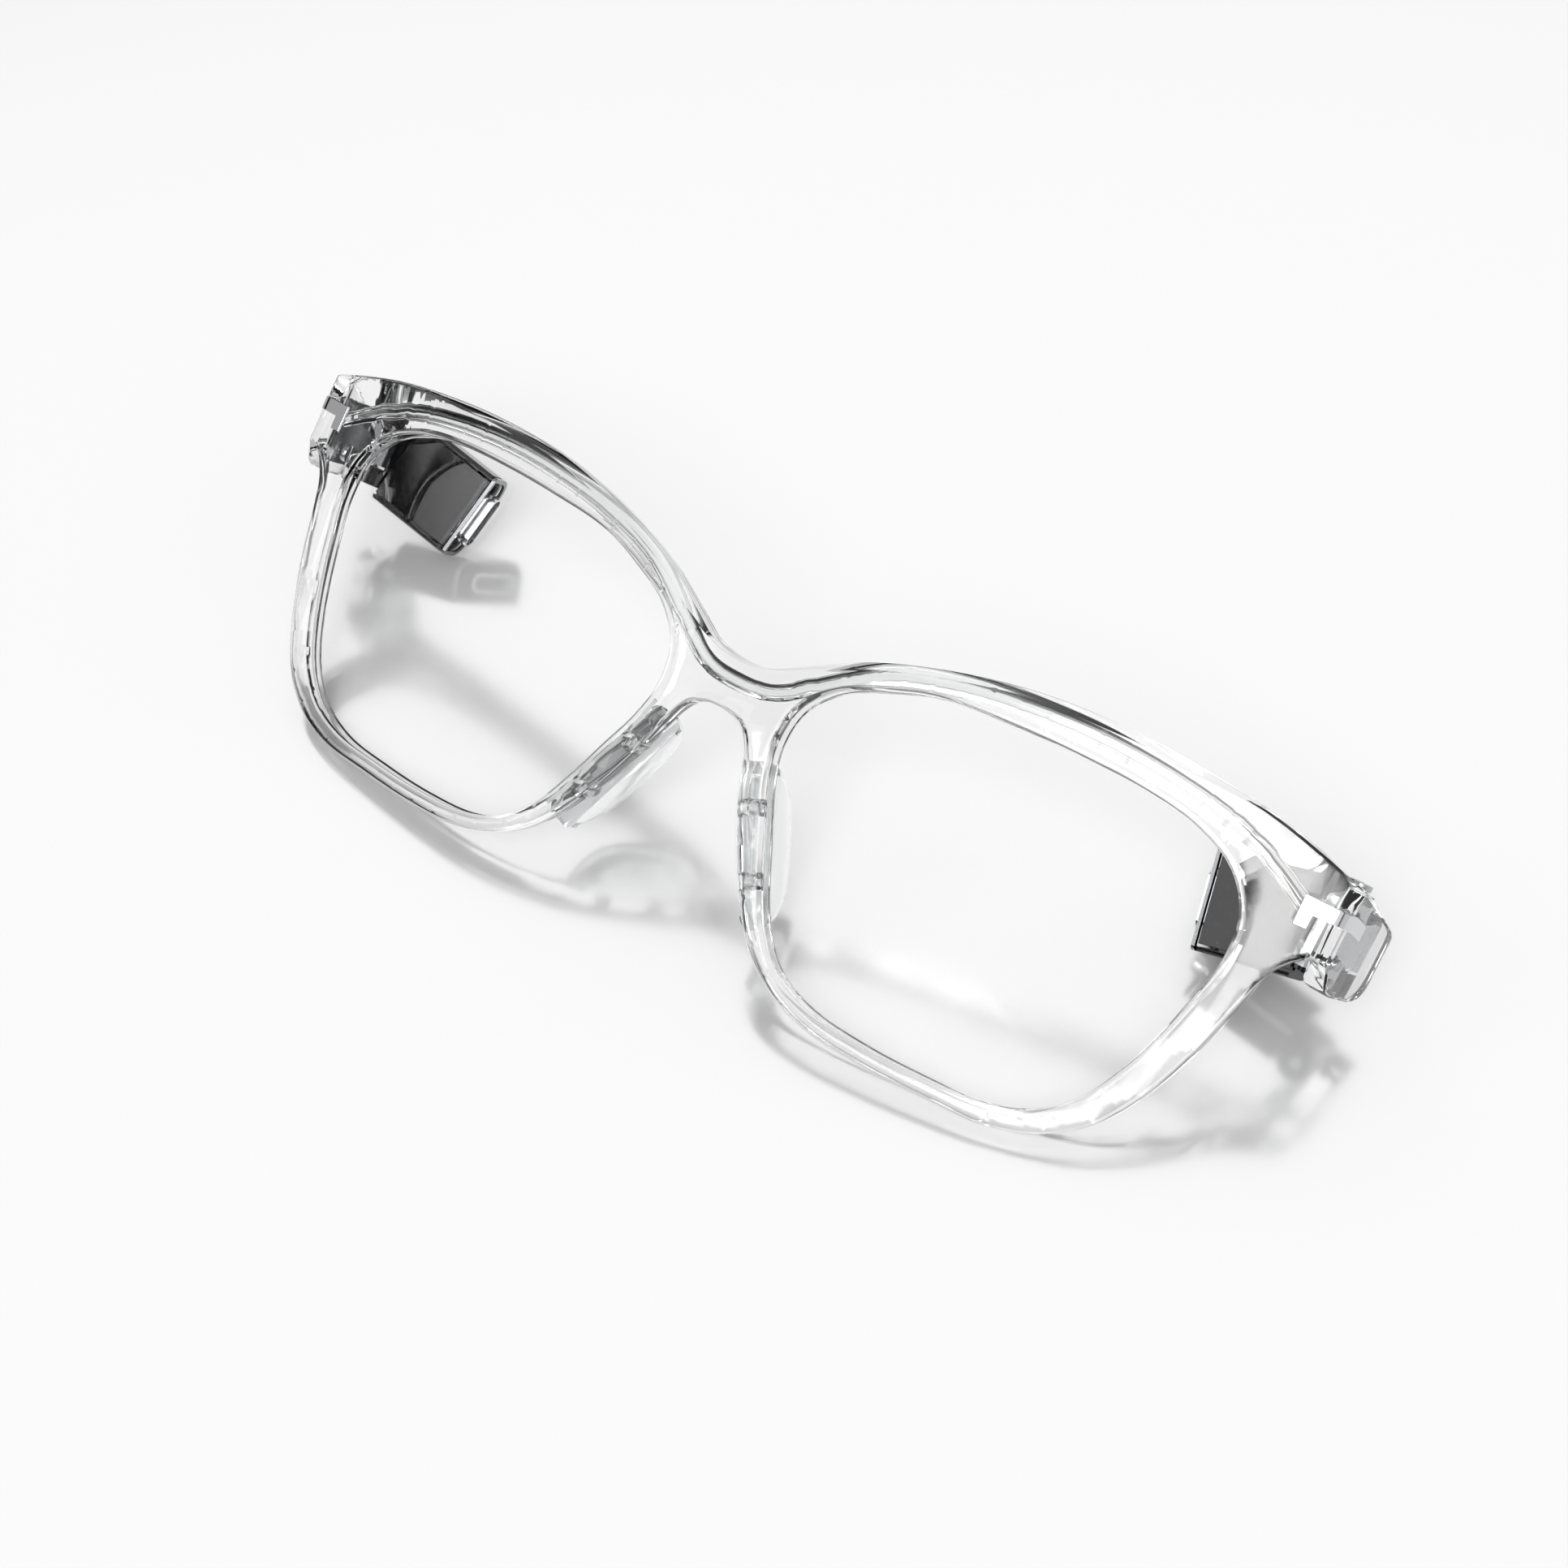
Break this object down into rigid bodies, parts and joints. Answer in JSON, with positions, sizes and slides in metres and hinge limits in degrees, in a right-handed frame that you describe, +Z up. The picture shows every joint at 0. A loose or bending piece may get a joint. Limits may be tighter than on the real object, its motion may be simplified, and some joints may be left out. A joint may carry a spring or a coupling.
{
  "type": "smart glasses front",
  "caption": "Clear front of modular smart glasses with lenses, nose pads and folding black connector stubs that take the temples, lying face up.",
  "frame": {"origin": "on the ground, under the middle of the bounding box of the glasses as they lie", "axes": "+X to the right of someone facing the front of the glasses, -Y towards that viewer and the front, +Z up; the front lies back 50 degrees from upright on its lower rims"},
  "size_m": [0.1412, 0.0432, 0.0308],
  "materials": {
    "clear_nylon": "crystal clear, polished, water white",
    "lens_resin": "clear resin with an anti-reflection coat",
    "soft_silicone": "clear silicone, satin",
    "cable_jacket": "clear flexible jacket",
    "polished_steel": "polished stainless steel",
    "brushed_steel": "fine brushed stainless steel",
    "plug_steel": "nickel plated, satin bright",
    "black_nylon": "black, piano gloss",
    "black_plastic": "black, fine matte",
    "black_rubber": "black, matte",
    "board_green": "green solder mask",
    "chip_black": "black epoxy"
  },
  "bodies": {
    "front": {"front_frame": "clear_nylon", "brow_link_cable": "cable_jacket", "lens_left": "lens_resin", "nose_pad_left": "soft_silicone", "corner_plate_left": "polished_steel", "hinge_bracket_left": "brushed_steel", "bracket_screw_upper_left": "brushed_steel", "bracket_screw_lower_left": "brushed_steel", "lens_right": "lens_resin", "nose_pad_right": "soft_silicone", "corner_plate_right": "polished_steel", "hinge_bracket_right": "brushed_steel", "bracket_screw_upper_right": "brushed_steel", "bracket_screw_lower_right": "brushed_steel"},
    "stub_left": {"hinge_pin_left": "brushed_steel", "stub_housing_left": "black_nylon", "stub_cover_left": "black_nylon", "end_seal_left": "black_rubber", "end_bezel_left": "polished_steel", "connector_seat_left": "black_plastic", "plug_shell_left": "plug_steel", "plug_insert_left": "black_plastic", "connector_board_left": "board_green", "control_chip_left": "chip_black"},
    "stub_right": {"hinge_pin_right": "brushed_steel", "stub_housing_right": "black_nylon", "stub_cover_right": "black_nylon", "end_seal_right": "black_rubber", "end_bezel_right": "polished_steel", "connector_seat_right": "black_plastic", "plug_shell_right": "plug_steel", "plug_insert_right": "black_plastic", "connector_board_right": "board_green", "control_chip_right": "chip_black"}
  },
  "joints": [
    {"name": "right_fold", "type": "hinge", "parent": "front", "child": "stub_right", "pos_m": [0.0654, 0.01531, 0.01142], "axis": [0, 0.766, 0.6428], "range_deg": [-77, 13]},
    {"name": "left_fold", "type": "hinge", "parent": "front", "child": "stub_left", "pos_m": [-0.0654, 0.01531, 0.01142], "axis": [0, -0.766, -0.6428], "range_deg": [-77, 13]}
  ]
}
